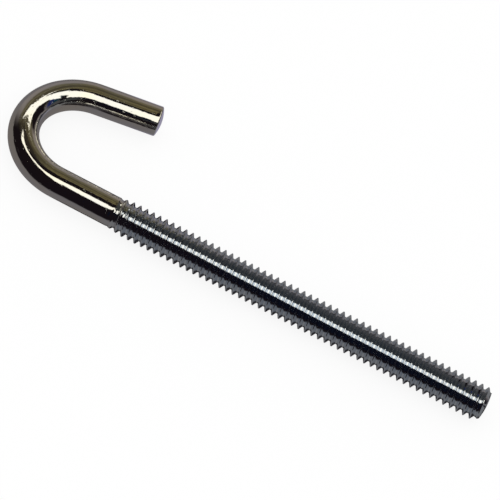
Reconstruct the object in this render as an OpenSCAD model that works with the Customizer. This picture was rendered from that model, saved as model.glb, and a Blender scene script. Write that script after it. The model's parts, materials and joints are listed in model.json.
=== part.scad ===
// J hook bolt
// A round steel rod with a hook bent at one end and a thread rolled along its straight shank.
// It lies flat, with the shank along X. The hook is at the -X end and opens towards the thread.

/* [Rod] */
// Diameter of the plain rod
rod_d = 5.5; // [4.8:0.1:6]

/* [Hook] */
// Radius of the inside of the bend
bend_inner_r = 7.7; // [4:0.1:16]
// Angle that the rod is bent through, in degrees
bend_angle = 170; // [120:1:180]
// Length of the straight tip past the bend, to the top of its domed end
tip_len = 12.1; // [4:0.1:30]
// Height of the dome on the tip's end
tip_dome = 0.55; // [0.3:0.05:1]
// Radius of the rounded edge round that dome
tip_edge_r = 0.2; // [0.1:0.05:0.4]

/* [Shank] */
// Length of plain rod between the bend and the thread
neck_len = 10.9; // [5:0.1:40]
// Length of the thread, from where it begins to the end of the shank
thread_len = 72.3; // [20:0.1:90]

/* [Thread] */
// Outer diameter of the thread
thread_d = 6.35; // [6.2:0.05:7]
// Distance from one turn to the next
thread_pitch = 1.27; // [1.1:0.01:1.6]
// Length over which the thread rises out of the plain rod
runout_len = 3; // [1:0.1:8]
// Depth of the chamfer round the threaded end
end_chamfer = 0.8; // [0.3:0.05:1]
// Height of the dome on the threaded end
end_dome = 0.25; // [0.1:0.05:0.5]

/* [Hidden] */
$fn = 64;

// A cut reaches this far past the metal that it takes away
overrun = 1;
// Where a straight length runs into the bend or the neck, it starts this far inside
joint_depth = 0.2;
// There it is this much slimmer all round, about the thickness of the plating
joint_step = 0.01;

// The thread's form, in shares of the pitch: flat crest, and depth of a 60 degree unified thread
crest_share = 1 / 8;
depth_share = 0.6134;
flank_angle = 30;
flank_share = depth_share * tan(flank_angle);
// Corners of one tooth along the shank: two on the crest, then two on the root
corner_shares = [
    -crest_share / 2,
    crest_share / 2,
    crest_share / 2 + flank_share,
    1 - crest_share / 2 - flank_share
];
corners = len(corner_shares);
crest_corners = 2;
// Flat sides in one turn of the thread, in fours so that it has a full crest on every axis
thread_sides = 20;
// Turns of the thread hidden in the neck
lead_turns = 1;

rod_r = rod_d / 2;
joint_r = rod_r - joint_step;
bend_r = bend_inner_r + rod_r;
tip_lean = 180 - bend_angle;
thread_r = thread_d / 2;
root_r = thread_r - depth_share * thread_pitch;
end_r = thread_r - end_chamfer;
shank_len = neck_len + thread_len;
thread_turns = ceil(thread_len / thread_pitch) + lead_turns + 1;
thread_rows = thread_turns * corners;

// The tip's dome is cut from a ball, and a round as wide as its edge touches both dome and rod
tip_ball_r = ball_r(joint_r, tip_dome);
tip_ball_at = tip_len - tip_ball_r;
tip_round_at = tip_ball_at + sqrt(pow(tip_ball_r - tip_edge_r, 2) - pow(joint_r - tip_edge_r, 2));
tip_touch_r = (joint_r - tip_edge_r) * tip_ball_r / (tip_ball_r - tip_edge_r);

// Reach of the whole hook along X and Y, measured from where the shank meets the bend
x_low = -bend_r - rod_r;
x_high = shank_len;
y_low = -thread_r;
y_high = bend_r * (1 + cos(tip_lean)) + tip_round_at * sin(tip_lean)
    + (joint_r - tip_edge_r) * cos(tip_lean) + tip_edge_r;

// Radius of the ball that makes a dome of height h on a base of radius r
function ball_r(r, h) = (r * r + h * h) / (2 * h);

// Share of its full height that the thread has reached at a place along the shank
function rise_share(x) = min(1, max(0, (x - neck_len) / runout_len));

// A corner of the thread: its place along the shank, its distance from the axis, its point
function corner_x(side, row) =
    neck_len + thread_pitch
    * (floor(row / corners) + corner_shares[row % corners] + side / thread_sides - lead_turns);

function corner_r(row, x) =
    joint_r + ((row % corners < crest_corners ? thread_r : root_r) - joint_r) * rise_share(x);

function corner_point(side, row) =
    let (x = corner_x(side, row), r = corner_r(row, x), a = 360 * side / thread_sides)
    [x, r * cos(a), r * sin(a)];

// Number of a corner in the list: one turn round the shank ends one pitch further along
function corner_number(side, row) =
    side < thread_sides ? side * thread_rows + row : row + corners;

// Triangles from one point to each edge of a rim
function fan(point, rim) = [for (i = [0:len(rim) - 2]) [point, rim[i], rim[i + 1]]];

// The right-hand thread on its core, longer than the shank at both ends
module thread_helix() {
    last_side = thread_sides - 1;
    last_row = thread_rows - 1;
    start_middle = thread_sides * thread_rows;
    end_middle = start_middle + 1;
    points = [
        for (side = [0:last_side], row = [0:last_row]) corner_point(side, row),
        [corner_x(0, 0), 0, 0],
        [corner_x(last_side, last_row), 0, 0]
    ];
    walls = [
        for (side = [0:last_side], row = [0:last_row - 1])
            if (side < last_side || row < last_row - corners)
                each let (
                    a = corner_number(side, row),
                    b = corner_number(side, row + 1),
                    c = corner_number(side + 1, row + 1),
                    d = corner_number(side + 1, row)
                ) [[a, b, c], [a, c, d]]
    ];
    start_rim = [
        for (side = [0:thread_sides]) corner_number(side, 0),
        for (row = [corners - 1:-1:0]) corner_number(0, row)
    ];
    end_rim = [
        corner_number(0, last_row),
        for (row = [last_row - corners:last_row]) corner_number(last_side, row),
        for (side = [last_side - 1:-1:0]) corner_number(side, last_row)
    ];
    polyhedron(points, concat(walls, fan(start_middle, start_rim), fan(end_middle, end_rim)));
}

// What is cut off past the end of the shank, which leaves the end chamfered and domed
module end_trim() {
    chamfer_len = end_chamfer + overrun;
    trim_len = thread_pitch * (lead_turns + 2);
    end_ball_r = ball_r(end_r, end_dome);
    translate([shank_len - end_dome, 0, 0])
        rotate([0, 90, 0])
            rotate_extrude()
                difference() {
                    polygon([
                        [0, 0],
                        [end_r, 0],
                        [end_r + chamfer_len, -chamfer_len],
                        [end_r + chamfer_len, trim_len],
                        [0, trim_len]
                    ]);
                    intersection() {
                        translate([0, end_dome - end_ball_r]) circle(end_ball_r);
                        square([end_r, end_dome]);
                    }
                }
}

// The threaded length of the shank
module thread() {
    difference() {
        thread_helix();
        end_trim();
    }
}

// The plain length of the shank
module neck() {
    rotate([0, 90, 0]) cylinder(r = rod_r, h = neck_len);
}

// The bend, which starts at the neck and turns round past the -X side
module bend() {
    translate([0, bend_r, 0])
        rotate_extrude(angle = bend_angle, start = 270 - bend_angle)
            translate([bend_r, 0])
                circle(rod_r);
}

// The straight tip along +X, with its domed end and rounded edge
module tip() {
    rotate([0, 90, 0])
        rotate_extrude() {
            translate([0, -joint_depth]) square([joint_r, tip_round_at + joint_depth]);
            translate([joint_r - tip_edge_r, tip_round_at]) circle(tip_edge_r);
            intersection() {
                translate([0, tip_ball_at]) circle(tip_ball_r);
                square([tip_touch_r, tip_len]);
            }
        }
}

// The whole hook, over the middle of its box and with the thread's crests on the ground
module j_hook() {
    color([0.74, 0.74, 0.73])
        translate([-(x_low + x_high) / 2, -(y_low + y_high) / 2, thread_r]) {
            thread();
            neck();
            bend();
            translate([0, bend_r, 0])
                rotate([0, 0, tip_lean])
                    translate([0, bend_r, 0])
                        tip();
        }
}

j_hook();
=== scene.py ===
import json
import math

import bmesh
import bpy
from mathutils import Matrix, Vector


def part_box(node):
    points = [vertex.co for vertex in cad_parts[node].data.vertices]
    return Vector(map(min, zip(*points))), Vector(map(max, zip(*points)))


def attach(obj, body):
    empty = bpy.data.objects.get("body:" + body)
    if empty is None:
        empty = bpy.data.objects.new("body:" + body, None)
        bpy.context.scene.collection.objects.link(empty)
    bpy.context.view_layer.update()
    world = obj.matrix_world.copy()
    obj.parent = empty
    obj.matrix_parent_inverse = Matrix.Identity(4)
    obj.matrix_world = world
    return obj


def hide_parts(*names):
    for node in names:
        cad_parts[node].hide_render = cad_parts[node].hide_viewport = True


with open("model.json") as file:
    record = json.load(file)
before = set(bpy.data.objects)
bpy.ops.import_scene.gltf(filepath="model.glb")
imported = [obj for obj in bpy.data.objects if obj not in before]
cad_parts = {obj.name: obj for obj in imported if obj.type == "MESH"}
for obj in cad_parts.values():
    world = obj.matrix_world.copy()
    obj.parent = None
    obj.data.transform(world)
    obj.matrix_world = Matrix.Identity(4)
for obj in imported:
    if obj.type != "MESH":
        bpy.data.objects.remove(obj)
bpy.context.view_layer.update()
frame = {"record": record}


# The thread
# A right-hand quarter-inch thread, twenty turns to the inch, rolled into the steel rod and not cut.
# Its teeth have rounded corners, rise out of the plain rod and end in a chamfer.
MM = 0.001
mounts = {mount["name"]: mount for mount in frame["record"]["mounts"]}
shank_mount = mounts["threaded_shank"]
thread_r = shank_mount["dims"]["r_mm"] * MM
thread_len = shank_mount["dims"]["length_mm"] * MM
shank_axis = Vector(shank_mount["pos_m"])
thread_from = shank_axis.x - thread_len / 2
thread_to = shank_axis.x + thread_len / 2
seat_mount = mounts["hook_seat"]
hook_low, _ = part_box("j_hook")
rod_r = (seat_mount["pos_m"][0] - hook_low.x) / 2

pitch = 1.27 * MM
crest_share = 1 / 8
depth_share = 0.55
flank_angle = math.radians(30)
tooth_round = 0.03 * MM
tooth_round_steps = 3
runout_len = 3 * MM
groove_runout = 1.3 * MM
end_chamfer = 0.8 * MM
end_dome = 0.25 * MM
end_r = thread_r - end_chamfer
end_face = thread_to - end_dome
columns = 56
weld_gap = 0.002 * MM


def tooth_row(mesh):
    """One tooth from groove to groove, repeated along the far side of the shank."""
    crest_half = crest_share * pitch / 2
    depth = depth_share * pitch
    flank = depth * math.tan(flank_angle)
    outline = [
        (-pitch / 2, thread_r - depth),
        (-crest_half - flank, thread_r - depth),
        (-crest_half, thread_r),
        (crest_half, thread_r),
        (crest_half + flank, thread_r - depth),
        (pitch / 2, thread_r - depth),
    ]
    first = Vector((thread_from - pitch, shank_axis.y, shank_axis.z))
    corners = [mesh.verts.new(first + Vector((x, r, 0))) for x, r in outline]
    for one, other in zip(corners, corners[1:]):
        mesh.edges.new((one, other))
    bmesh.ops.bevel(
        mesh, geom=corners[1:-1], offset=tooth_round, segments=tooth_round_steps, profile=0.5,
        affect="VERTICES", material=-1)
    bmesh.ops.spin(
        mesh, geom=mesh.verts[:] + mesh.edges[:], cent=shank_axis, axis=(1, 0, 0),
        dvec=(pitch, 0, 0), angle=0, steps=math.ceil(thread_len / pitch) + 2, use_duplicate=True)
    bmesh.ops.remove_doubles(mesh, verts=mesh.verts[:], dist=weld_gap)


def shape_thread_ends(mesh):
    """The teeth sink into the plain rod at one end and under the chamfer at the other."""
    for vert in mesh.verts:
        across = vert.co - Vector((vert.co.x, shank_axis.y, shank_axis.z))
        reach = runout_len if across.length > rod_r else groove_runout
        rise = min(1, max(0, (vert.co.x - thread_from) / reach))
        wanted = rod_r + (across.length - rod_r) * rise
        wanted = min(wanted, end_r + max(0, end_face - vert.co.x))
        vert.co += across * (wanted / across.length - 1)


def flatten_teeth(mesh):
    """Keeps flanks, crests and roots flat to the eye, where their rounded corners begin."""
    level_lean = 0.03
    lean_slack = 0.01
    steep_lean = math.cos(flank_angle) - lean_slack
    mesh.normal_update()
    for edge in mesh.edges:
        leans = [abs(face.normal.x) for face in edge.link_faces]
        edge.smooth = sum(lean < level_lean or lean > steep_lean for lean in leans) != 1


def open_rim(mesh, x):
    """The open edges of the thread's skin at a place along the shank."""
    return [
        edge for edge in mesh.edges
        if edge.is_boundary and all(abs(vert.co.x - x) < weld_gap for vert in edge.verts)
    ]


hook_mesh = bmesh.new()
tooth_row(hook_mesh)
bmesh.ops.spin(
    hook_mesh, geom=hook_mesh.verts[:] + hook_mesh.edges[:], cent=shank_axis, axis=(1, 0, 0),
    dvec=(pitch / columns, 0, 0), angle=2 * math.pi, steps=columns)
bmesh.ops.remove_doubles(hook_mesh, verts=hook_mesh.verts[:], dist=weld_gap)
shape_thread_ends(hook_mesh)
flatten_teeth(hook_mesh)
for place, side in ((thread_from, -1), (end_face, 1)):
    bmesh.ops.bisect_plane(
        hook_mesh, geom=hook_mesh.verts[:] + hook_mesh.edges[:] + hook_mesh.faces[:],
        plane_co=(place, 0, 0), plane_no=(side, 0, 0), clear_outer=True)


# The neck, bend and tip
# The plain steel rod is drawn on from the thread's start, round the bend and along the straight tip.
# Both ends are cut off and tumbled, which leaves them slightly domed with a soft edge.
seat_r = seat_mount["dims"]["r_mm"] * MM
bend_r = seat_r + rod_r
bend_middle = Vector(seat_mount["pos_m"]) + Vector((seat_r, 0, 0))
bend_start = Vector((bend_middle.x, shank_axis.y, shank_axis.z))
tip_mount = mounts["hook_tip"]
tip_axis = Vector(tip_mount["axis"])
tip_len = tip_mount["dims"]["length_mm"] * MM
bend_angle = math.pi - tip_axis.angle(Vector((1, 0, 0)))

joint_len = 0.5 * MM
stretch_len = 1 * MM
bend_steps = 72
tip_dome = 0.55 * MM
tip_edge_r = 0.2 * MM
end_edge_r = 0.08 * MM
edge_steps = 4
dome_steps = 10


def draw_on(mesh, ring, move, size=1, middle=Vector()):
    """Draws a ring of edges on by one step, and scales the new ring about a point."""
    drawn = bmesh.ops.extrude_edge_only(mesh, edges=ring)["geom"]
    verts = [part for part in drawn if isinstance(part, bmesh.types.BMVert)]
    bmesh.ops.scale(mesh, vec=(size,) * 3, space=Matrix.Translation(-middle), verts=verts)
    bmesh.ops.translate(mesh, vec=move, verts=verts)
    return [part for part in drawn if isinstance(part, bmesh.types.BMEdge)]


def draw_straight(mesh, ring, move):
    """Draws a ring of edges on along a straight length, in short stretches."""
    stretches = math.ceil(move.length / stretch_len)
    for _ in range(stretches):
        ring = draw_on(mesh, ring, move / stretches)
    return ring


def close_dome(mesh, ring, middle, outward, radius, height, edge_r):
    """Closes a ring with a shallow dome, and rounds the edge between the two."""
    ball_r = (radius ** 2 + height ** 2) / (2 * height)
    rim, reached, risen = ring, radius, 0
    for step in range(1, dome_steps + 1):
        inner = radius * (1 - step / dome_steps)
        rise = math.sqrt(ball_r ** 2 - inner ** 2) - (ball_r - height)
        ring = draw_on(
            mesh, ring, outward * (rise - risen), inner / reached if reached else 0,
            middle + outward * risen)
        reached, risen = inner, rise
    bmesh.ops.bevel(
        mesh, geom=rim, offset=edge_r, segments=edge_steps, profile=0.5, affect="EDGES", material=-1)


thread_rim = open_rim(hook_mesh, thread_from)
close_dome(
    hook_mesh, open_rim(hook_mesh, end_face), Vector((end_face, shank_axis.y, shank_axis.z)),
    Vector((1, 0, 0)), end_r, end_dome, end_edge_r)

neck_place = Vector((thread_from - joint_len, shank_axis.y, shank_axis.z))
neck_ring = bmesh.ops.create_circle(
    hook_mesh, segments=columns, radius=rod_r,
    matrix=Matrix.Translation(neck_place) @ Matrix.Rotation(math.pi / 2, 4, "Y"))["verts"]
rod_ring = [edge for edge in hook_mesh.edges if edge.verts[0] in neck_ring]
bmesh.ops.bridge_loops(hook_mesh, edges=thread_rim + rod_ring)
rod_ring = draw_straight(hook_mesh, rod_ring, bend_start - neck_place)
bent = bmesh.ops.spin(
    hook_mesh, geom=rod_ring + list({vert for edge in rod_ring for vert in edge.verts}),
    cent=bend_middle, axis=(0, 0, -1), angle=bend_angle, steps=bend_steps)["geom_last"]
rod_ring = [part for part in bent if isinstance(part, bmesh.types.BMEdge)]
bend_end = bend_middle + Matrix.Rotation(-bend_angle, 3, "Z") @ (bend_start - bend_middle)
rod_ring = draw_straight(hook_mesh, rod_ring, tip_axis * tip_len)
close_dome(
    hook_mesh, rod_ring, bend_end + tip_axis * tip_len, tip_axis, rod_r, tip_dome, tip_edge_r)
bmesh.ops.remove_doubles(hook_mesh, verts=hook_mesh.verts[:], dist=weld_gap)
bmesh.ops.recalc_face_normals(hook_mesh, faces=hook_mesh.faces[:])

hook_data = bpy.data.meshes.new("j_hook_rod")
hook_mesh.to_mesh(hook_data)
hook_mesh.free()
hook_data.shade_smooth()


# The place of each point on the rod before it was bent
# Drawing and rolling marks were made on the straight rod, so they follow the bend round.
# The plating reads this to lay them along the metal: X is along the rod, from the bend's start.
bend_len = bend_r * bend_angle


def unbent(point):
    """A point of the hook as it lay on the straight rod, whose axis is X."""
    up = point.z - shank_axis.z
    if point.y > bend_middle.y:
        past = (point - bend_end).dot(tip_axis)
        if past > 0:
            outward = (bend_end - bend_middle).normalized()
            return Vector((-bend_len - past, -(point - bend_end).dot(outward), up))
    elif point.x > bend_start.x:
        return point - bend_start
    spoke = (point - bend_middle).xy
    turned = spoke.angle_signed((bend_start - bend_middle).xy)
    return Vector((-bend_r * abs(turned), bend_r - spoke.length, up))


straight = hook_data.attributes.new("straight", "FLOAT_VECTOR", "POINT")
for vert, place in zip(hook_data.vertices, straight.data):
    place.vector = unbent(vert.co)

scene = bpy.context.scene
hook = bpy.data.objects.new("j_hook_rod", hook_data)
scene.collection.objects.link(hook)


# The plating
# Bright zinc on bare steel: mirror smooth on the drawn rod, a little duller and bluer on the thread.
# Faint drawing lines run along the rod, and the film on it has a slight play of colour.
warm_film = (0.80, 0.775, 0.70, 1)
grey_film = (0.74, 0.75, 0.77, 1)
blue_film = (0.71, 0.76, 0.835, 1)
pale_film = (0.75, 0.785, 0.845, 1)
cut_face = (0.86, 0.86, 0.93, 1)
tip_cut_blend = 0.15 * MM
shank_cut_blend = 0.05 * MM
mirror_roughness = 0.05
relief_height = 0.02 * MM


class Socket:
    """An output of a shader node. Sums on it add Math nodes, and node() adds any other node."""

    def __init__(self, tree, output=None):
        self.tree = tree
        self.output = output

    def node(self, kind, settings, inputs, output=0):
        made = self.tree.nodes.new(kind)
        for name, value in settings.items():
            setattr(made, name, value)
        for name, value in inputs.items():
            if isinstance(value, Socket):
                self.tree.links.new(value.output, made.inputs[name])
            else:
                made.inputs[name].default_value = value
        return Socket(self.tree, made.outputs[output])

    def maths(self, operation, *values):
        return self.node("ShaderNodeMath", {"operation": operation}, dict(enumerate(values)))

    def __add__(self, other):
        return self.maths("ADD", self, other)

    def __sub__(self, other):
        return self.maths("SUBTRACT", self, other)

    def __rsub__(self, other):
        return self.maths("SUBTRACT", other, self)

    def __truediv__(self, other):
        return self.maths("DIVIDE", self, other)

    def __mul__(self, other):
        return self.maths("MULTIPLY", self, other)

    __radd__ = __add__
    __rmul__ = __mul__

    def step(self, low, high):
        """0 below low and 1 above high, or the other way round, with a soft change between."""
        return self.node(
            "ShaderNodeMapRange", {"interpolation_type": "SMOOTHSTEP"},
            {"Value": self, "From Min": low, "From Max": high})

    def mix(self, first, second):
        """A colour from first to second, by this share."""
        return self.node("ShaderNodeMix", {"data_type": "RGBA"}, {0: self, 6: first, 7: second}, 2)


def grain(place, along, across, detail):
    """Noise in marks of a given length and width, laid along X."""
    scaled = place.node(
        "ShaderNodeVectorMath", {"operation": "MULTIPLY"},
        {0: place, 1: (1 / along, 1 / across, 1 / across)})
    return place.node("ShaderNodeTexNoise", {}, {"Vector": scaled, "Scale": 1.0, "Detail": detail})


def plating():
    """The finish of the whole hook."""
    material = bpy.data.materials.new("plated_steel")
    material.use_nodes = True
    tree = material.node_tree
    shader = tree.nodes["Principled BSDF"]
    start = Socket(tree)
    place = start.node("ShaderNodeAttribute", {"attribute_name": "straight"}, {}, "Vector")
    along = start.node("ShaderNodeSeparateXYZ", {}, {"Vector": place}, "X")
    neck_len = thread_from - bend_start.x
    rolled = along.step(neck_len, neck_len + runout_len)
    tip_cut = -bend_len - tip_len
    shank_cut = end_face - bend_start.x
    cut = (
        along.step(tip_cut, tip_cut - tip_cut_blend)
        + along.step(shank_cut, shank_cut + shank_cut_blend))

    film = grain(place, 9 * MM, 4 * MM, 2.0).step(0.35, 0.65)
    bright = film.mix(warm_film, grey_film)
    cool = film.mix(blue_film, pale_film)
    colour = cut.mix(rolled.mix(bright, cool), cut_face)

    lines = grain(place, 12 * MM, 0.2 * MM, 3.0)
    specks = grain(place, 0.25 * MM, 0.25 * MM, 2.0)
    dull = 0.06 * lines.step(0.5, 0.75) + 0.05 * rolled * specks + 0.3 * cut * specks
    roughness = mirror_roughness + dull

    waves = grain(place, 3 * MM, 1.2 * MM, 2.0)
    nicks = grain(place, 0.8 * MM, 0.4 * MM, 1.0).step(0.68, 0.74)
    ripples = grain(place, 0.9 * MM, 0.5 * MM, 2.0)
    relief = 1.5 * waves + 0.3 * ripples + 0.15 * lines - 0.4 * nicks
    relief = relief * (1 - 0.85 * rolled) + (0.02 * rolled + 0.3 * cut) * specks
    normal = start.node(
        "ShaderNodeBump", {}, {"Strength": 1.0, "Distance": relief_height, "Height": relief})

    for name, value in (("Base Color", colour), ("Roughness", roughness), ("Normal", normal)):
        tree.links.new(value.output, shader.inputs[name])
    shader.inputs["Metallic"].default_value = 1.0
    return material


hook_data.materials.append(plating())
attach(hook, "root")
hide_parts("j_hook")


# The floor
# A plain sheet of pale paper, wider than the camera sees, on which the hook lies.
# Most of its white is a glow of its own, so the hook's shadow on it stays faint.
floor_half = 4.0
paper_white = (0.95, 0.95, 0.95, 1)
paper_roughness = 0.9
glow_share = 0.88

floor_mesh = bmesh.new()
bmesh.ops.create_grid(floor_mesh, x_segments=1, y_segments=1, size=floor_half)
floor_data = bpy.data.meshes.new("floor")
floor_mesh.to_mesh(floor_data)
floor_mesh.free()
floor = bpy.data.objects.new("floor", floor_data)
scene.collection.objects.link(floor)

floor_paint = bpy.data.materials.new("pale_floor")
floor_paint.use_nodes = True
floor_tree = floor_paint.node_tree
floor_shader = floor_tree.nodes["Principled BSDF"]
floor_shader.inputs["Base Color"].default_value = paper_white
floor_shader.inputs["Roughness"].default_value = paper_roughness
floor_shader.inputs["Specular IOR Level"].default_value = 0.0
paper = Socket(floor_tree, floor_shader.outputs["BSDF"])
seen = 0
for ray in ("Is Camera Ray", "Is Glossy Ray", "Is Transmission Ray"):
    seen = seen + paper.node("ShaderNodeLightPath", {}, {}, ray)
white = paper.node("ShaderNodeEmission", {}, {"Color": (1, 1, 1, 1), "Strength": 1.0})
paper = paper.node("ShaderNodeMixShader", {}, {0: glow_share * seen, 1: paper, 2: white})
floor_tree.links.new(paper.output, floor_tree.nodes["Material Output"].inputs["Surface"])
floor_data.materials.append(floor_paint)


# The dome of painted reflections
# A dark dome round the hook, seen only in the plating; it is no lamp, and its glowing colours paint
# reflections.
# It is black, with a lit panel that paints the highlights and a round dark gap in its roof, drab at
# the back, and a painted blue glint on the right.
tent_r = 1.0
card_gap = 0.01 * MM
dome_splits = 5
painted_black = (0.009, 0.006, 0.008, 1)
blue_black = (0.004, 0.006, 0.013, 1)
dark_drab = (0.08, 0.066, 0.038, 1)
pale_drab = (0.15, 0.132, 0.08, 1)
drab_width = 0.08
horizon_reflection = (0.25, 0.22, 0.205, 1)
gleam_blue = (0.015, 0.022, 0.11, 1)
gleam_teal = (0.008, 0.035, 0.05, 1)
lit_cream = (1.35, 1.3, 1.13, 1)
panel_cos = 0.666
panel_sin = 0.746


def reflection_sheet(name, mesh, colour_of):
    """A glowing sheet, no lamp, seen by mirrored rays alone: its colours are painted reflections in
    the plating.
    """
    data = bpy.data.meshes.new(name)
    mesh.to_mesh(data)
    mesh.free()
    material = bpy.data.materials.new(name)
    material.use_nodes = True
    tree = material.node_tree
    tree.nodes.remove(tree.nodes["Principled BSDF"])
    start = Socket(tree)
    place = start.node("ShaderNodeTexCoord", {}, {}, "Object")
    glow = start.node("ShaderNodeEmission", {}, {"Color": colour_of(place), "Strength": 1.0})
    tree.links.new(glow.output, tree.nodes["Material Output"].inputs["Surface"])
    data.materials.append(material)
    piece = bpy.data.objects.new(name, data)
    scene.collection.objects.link(piece)
    for rays in ("camera", "diffuse", "transmission", "volume_scatter", "shadow"):
        setattr(piece, "visible_" + rays, False)


def split(place):
    """The three coordinates of a place."""
    return [place.node("ShaderNodeSeparateXYZ", {}, {"Vector": place}, axis) for axis in "XYZ"]


def length(x, y):
    """The distance to a point, from its two parts."""
    return x.maths("SQRT", x * x + y * y)


def band(value, rise, fall):
    """1 where a value lies between two soft edges, and 0 beyond them."""
    return value.step(*rise) * value.step(*fall)


def mottled(place, width, first, second):
    """Two colours in soft bands that lie along the shank."""
    return grain(place, 5 * width, width, 3.0).step(0.38, 0.6).mix(first, second)


def dome_colours(place):
    """The dome's painted reflection colours, by turn and height in degrees and by the slopes of the
    roof.
    """
    degree = math.pi / 180
    x, y, z = split(place)
    height = z.maths("ARCSINE", z * (1 / tent_r)) * (1 / degree)
    turn = x.maths("ARCTAN2", x, y * -1) * (1 / degree)
    right = x / z
    back = y / z

    # Painted reflections: black all round, drab and a warm grey band behind, a dark nook that paints
    # the bend's inner side dark, and a painted blue and teal glint.
    black = band(turn, (-6, -2), (9, 5)).mix(painted_black, blue_black)
    drab = mottled(place, drab_width, dark_drab, pale_drab)
    behind = turn.maths("ABSOLUTE", turn).step(100, 130) * back.step(0.2, 1.0)
    colour = behind.mix(black, height.step(34, 20).mix(drab, horizon_reflection))
    nook = band(turn, (118, 126), (168, 157)) * band(height, (6, 12), (48, 40))
    colour = nook.mix(colour, black)
    gleam = band(turn, (86, 96), (122, 112)) * band(height, (2, 20), (56, 46))
    colour = gleam.mix(colour, turn.step(98, 110).mix(gleam_teal, gleam_blue))

    # The lit panel paints the highlights; the opening, pole and bite are dark gaps cut into it.
    long = panel_cos * right - panel_sin * back
    wide = panel_sin * right + panel_cos * back
    panel = band(long, (-0.86, -0.80), (1.25, 1.15)) * band(wide, (-0.67, -0.61), (1.02, 0.94))
    opening = length(right + 0.19, back - 0.28).step(0.51, 0.47)
    pole = back.step(0.45, 0.55) * right.step(0.2, 0.12)
    slant = back + 0.3 * right - 0.225
    bite = right.step(0.72, 0.85) * slant.maths("ABSOLUTE", slant).step(0.2, 0.1)
    return (panel * (1 - opening) * (1 - pole) * (1 - bite)).mix(colour, lit_cream)


dome = bmesh.new()
bmesh.ops.create_icosphere(dome, subdivisions=dome_splits, radius=tent_r)
bmesh.ops.bisect_plane(
    dome, geom=dome.verts[:] + dome.edges[:] + dome.faces[:], plane_co=(0, 0, card_gap),
    plane_no=(0, 0, -1), clear_outer=True)
reflection_sheet("painted_reflection_dome", dome, dome_colours)


# The cloth of painted reflections
# A drab mottled sheet, hung level over the hook, that glows and shows only in the plating: a painted
# reflection on the upper side of the neck and tip. Its front hem is black, and it darkens on the
# left.
cloth_size = (0.075, 0.096, 1)
cloth_place = (-0.0625, 0.03, 0.12)
cloth_dark = (0.085, 0.07, 0.035, 1)
cloth_pale = (0.19, 0.162, 0.08, 1)
cloth_left = (0.03, 0.024, 0.018, 1)
cloth_width = 0.009


def level_panel(size, turn, place):
    """A level panel of a given width and depth, turned about the vertical and put in its place."""
    panel = bmesh.new()
    bmesh.ops.create_grid(panel, x_segments=1, y_segments=1, size=0.5)
    verts = panel.verts[:]
    bmesh.ops.scale(panel, vec=size, verts=verts)
    bmesh.ops.rotate(panel, cent=(0, 0, 0), matrix=Matrix.Rotation(turn, 3, "Z"), verts=verts)
    bmesh.ops.translate(panel, vec=place, verts=verts)
    return panel


def cloth_colours(place):
    """The painted reflection's drab bands, its dark left side and its hem."""
    x, y, _ = split(place)
    drab = mottled(place, cloth_width, cloth_dark, cloth_pale)
    colour = x.step(-0.075, -0.055).mix(cloth_left, drab)
    return y.step(0.02, 0.012).mix(colour, painted_black)


reflection_sheet("painted_reflection_cloth", level_panel(cloth_size, 0, cloth_place), cloth_colours)


# The strip of painted highlight
# A small glowing strip, no lamp, hung low over the bend and seen only in the plating: a painted
# highlight that gives the light on the bend its blunt end.
strip_corners = ((-57.0, 7.0), (-43.4, 9.8), (-41.3, 12.0), (-41.3, 13.2), (-50.5, 12.2))
strip_height = 20.9


def flat_sheet(corners, height):
    """A flat sheet at a height over the floor, from its corners in millimetres."""
    sheet = bmesh.new()
    points = [sheet.verts.new((x * MM, y * MM, height * MM)) for x, y in corners]
    bmesh.ops.contextual_create(sheet, geom=points)
    return sheet


reflection_sheet("painted_highlight_strip", flat_sheet(strip_corners, strip_height), lambda place: lit_cream)


# The shade of painted reflection
# A dark glowing sheet, hung low over the thread, paler towards its back and seen only in the
# plating: a painted dark reflection that the upper teeth mirror, which darkens the thread's upper
# half.
shade_corners = (
    (-25, -14.7), (54, -14.7), (54, 28), (6, 28), (-4, 2.5), (-19, 2.5), (-21, -4), (-25, -4))
shade_height = 16.3
shade_front = (0.045, 0.047, 0.046, 1)
shade_back = (0.075, 0.072, 0.07, 1)


def shade_colours(place):
    """The two greys of the painted dark reflection, from front to back."""
    _, y, _ = split(place)
    return y.step(-0.007, 0.003).mix(shade_front, shade_back)


reflection_sheet("painted_shade_sheet", flat_sheet(shade_corners, shade_height), shade_colours)


# The flag of painted reflection
# A black glowing flag, hung in front of the thread and seen only in the plating: a painted dark
# reflection which keeps the line of light on the thread thin.
flag_size = (0.14, 0.06, 1)
flag_turn = math.radians(15.3)
flag_place = (0.058, -0.1155, 0.1)
flag_black = (0.005, 0.007, 0.014, 1)
reflection_sheet("painted_dark_flag", level_panel(flag_size, flag_turn, flag_place), lambda place: flag_black)


# The painted reflection of the floor
# A round glowing sheet just over the floor, seen only in the plating, which paints the floor's
# reflection grey where the floor itself looks white. It is black in front and inside the hook, black
# under the shank as a painted contact shadow, and pale lilac past the tip, a painted reflection seen
# in the tip's end.
card_steps = 64
hook_grey = (0.175, 0.16, 0.16, 1)
thread_grey = (0.19, 0.188, 0.187, 1)
tip_lilac = (0.32, 0.3, 0.38, 1)
contact_shadow_share = 0.9


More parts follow.
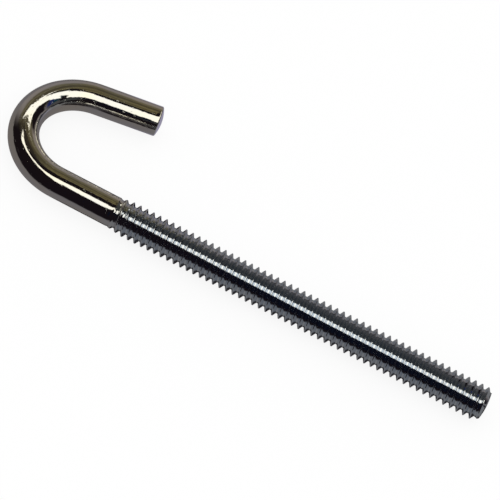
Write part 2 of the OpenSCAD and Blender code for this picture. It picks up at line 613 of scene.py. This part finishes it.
def floor_reflection_colours(place):
    """The painted floor reflection's greys, its painted contact shadow under the shank, and its
    black and pale places.
    """
    x, y, _ = split(place)
    beside = y.step(-0.0235, -0.0185)
    inside = band(x, (-0.038, -0.032), (-0.008, -0.014)) * band(y, (-0.008, -0.006), (0.0025, 0.0))
    # A painted contact shadow: black right under the shank.
    off_axis = y - shank_axis.y
    under = off_axis.maths("ABSOLUTE", off_axis).step(0.0029, 0.0021) * x.step(-0.036, -0.032)
    grey = x.step(-0.027, -0.02).mix(hook_grey, thread_grey)
    bare = beside * (1 - inside) * (1 - contact_shadow_share * under)
    past_tip = band(x, (-0.036, -0.032), (-0.012, -0.018)) * band(y, (0.008, 0.011), (0.034, 0.028))
    return past_tip.mix(bare.mix(painted_black, grey), tip_lilac)


card = bmesh.new()
bmesh.ops.create_circle(
    card, segments=card_steps, radius=tent_r, cap_ends=True,
    matrix=Matrix.Translation((0, 0, card_gap)))
reflection_sheet("painted_floor_reflection", card, floor_reflection_colours)


# The light
# A white room, and one wide soft lamp above the camera's side, which gives the floor a soft shadow.
# Neither shows in the plating, which mirrors only the glowing sheets of painted reflections.
world = bpy.data.worlds.new("white_room")
world.use_nodes = True
room = world.node_tree.nodes["Background"]
room.inputs["Color"].default_value = (1, 1, 1, 1)
room.inputs["Strength"].default_value = 1.0
scene.world = world
world.cycles_visibility.glossy = False

lamp_size = 0.6
lamp_power = 0.5
lamp_place = (0.2, -0.4, 0.9)
lamp_data = bpy.data.lights.new("soft_lamp", "AREA")
lamp_data.size = lamp_size
lamp_data.energy = lamp_power
lamp = bpy.data.objects.new("soft_lamp", lamp_data)
lamp.location = lamp_place
lamp.rotation_euler = (-lamp.location).to_track_quat("-Z", "Y").to_euler()
lamp.visible_glossy = False
scene.collection.objects.link(lamp)


# The camera
# It looks down on the hook from the thread's side, through a long lens, turned as the photo is.
aim = Vector((-0.24, -4.65, 3.175)) * MM
camera_distance = 513.7 * MM
camera_azimuth = math.radians(4.54)
camera_elevation = math.radians(51.23)
camera_roll = math.radians(23.99)

camera_data = bpy.data.cameras.new("camera")
camera_data.lens = 213.8
camera_data.sensor_width = 36.0
camera = bpy.data.objects.new("camera", camera_data)
scene.collection.objects.link(camera)
camera.matrix_world = (
    Matrix.Translation(aim)
    @ Matrix.Rotation(camera_azimuth, 4, "Z")
    @ Matrix.Rotation(math.pi / 2 - camera_elevation, 4, "X")
    @ Matrix.Translation((0, 0, camera_distance))
    @ Matrix.Rotation(camera_roll, 4, "Z"))
scene.camera = camera
scene.view_settings.view_transform = "Standard"
